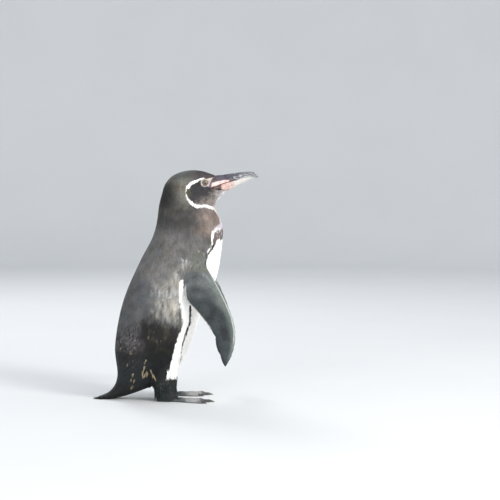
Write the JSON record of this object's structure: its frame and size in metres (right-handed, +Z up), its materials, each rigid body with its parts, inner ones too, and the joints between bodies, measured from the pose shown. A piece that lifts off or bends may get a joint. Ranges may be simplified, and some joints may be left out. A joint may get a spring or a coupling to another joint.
{
  "type": "penguin",
  "caption": "Still life-size model of a small Galapagos penguin standing upright, flippers hanging forward, tail laid on the floor.",
  "frame": {"origin": "on the floor, under the middle of the bird's bounding box", "axes": "+X the way the bill points, +Y the bird's left side, +Z up"},
  "size_m": [0.2668, 0.1798, 0.375],
  "materials": {
    "plumage": "short dense feathers, grey-brown to black above and white below",
    "flipper_plumage": "tiny scale-like feathers, slate grey",
    "bill_horn": "satin horn, dark above with a pink patch at the base",
    "bill_pale": "satin horn, pink at the base and pale towards the tip",
    "eye": "wet and glossy, brown iris",
    "foot_skin": "scaly skin, dark grey with pale patches",
    "claw_horn": "dark polished horn"
  },
  "bodies": {
    "root": {"head": "plumage", "neck": "plumage", "trunk": "plumage", "tail": "plumage", "leg_left": "plumage", "leg_right": "plumage", "flipper_left": "flipper_plumage", "flipper_right": "flipper_plumage", "bill_upper": "bill_horn", "bill_lower": "bill_pale", "eye_left": "eye", "eye_right": "eye", "foot_left": "foot_skin", "foot_right": "foot_skin", "claw_inner_left": "claw_horn", "claw_inner_right": "claw_horn", "claw_middle_left": "claw_horn", "claw_middle_right": "claw_horn", "claw_outer_left": "claw_horn", "claw_outer_right": "claw_horn", "claw_hallux_left": "claw_horn", "claw_hallux_right": "claw_horn"}
  },
  "joints": []
}
